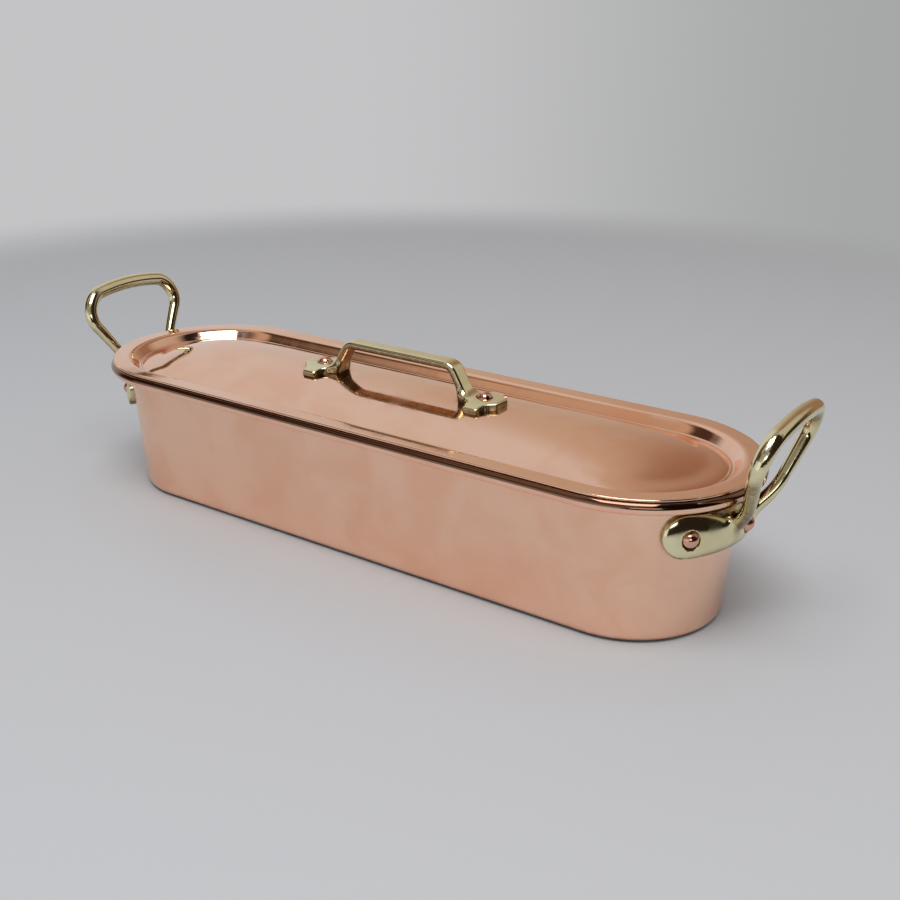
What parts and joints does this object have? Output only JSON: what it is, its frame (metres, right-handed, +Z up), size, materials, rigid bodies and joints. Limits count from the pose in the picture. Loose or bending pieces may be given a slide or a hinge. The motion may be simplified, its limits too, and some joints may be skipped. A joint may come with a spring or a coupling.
{
  "type": "fish kettle",
  "caption": "Long round-ended copper pan with a rolled rim, cast brass end handles, a domed lid with a brass bar handle and a perforated lifting rack inside.",
  "frame": {"origin": "middle of the flat base, on the surface that the pan stands on", "axes": "+X along the pan's length towards the right handle, +Z up, the front at -Y"},
  "size_m": [0.54, 0.153, 0.1413],
  "materials": {
    "copper": "polished copper",
    "tin": "wiped tin lining",
    "wire": "drawn steel wire",
    "brass": "polished cast brass",
    "rivet": "polished copper",
    "rack": "tinned sheet and rod"
  },
  "bodies": {
    "pan": {"pan_body": "copper", "pan_base": "copper", "pan_lining": "tin", "rim_wire": "wire", "left_handle": "brass", "right_handle": "brass", "left_front_rivet": "rivet", "left_middle_rivet": "rivet", "left_back_rivet": "rivet", "right_front_rivet": "rivet", "right_middle_rivet": "rivet", "right_back_rivet": "rivet"},
    "lid": {"lid_shell": "copper", "lid_lining": "tin", "lid_handle": "brass", "lid_left_rivet": "rivet", "lid_right_rivet": "rivet"},
    "rack": {"rack_plate": "rack", "rack_left_handle": "rack", "rack_right_handle": "rack", "rack_left_front_rivet": "rack", "rack_left_back_rivet": "rack", "rack_right_front_rivet": "rack", "rack_right_back_rivet": "rack"}
  },
  "joints": [
    {"name": "lid_lift", "type": "slide", "parent": "pan", "child": "lid", "axis": [0, 0, 1], "range_m": [0, 0.26]},
    {"name": "rack_lift", "type": "slide", "parent": "pan", "child": "rack", "axis": [0, 0, 1], "range_m": [0, 0.13]}
  ],
  "couplings": [
    {"joint": "rack_lift", "follows": "lid_lift", "ratio": 0.5}
  ]
}
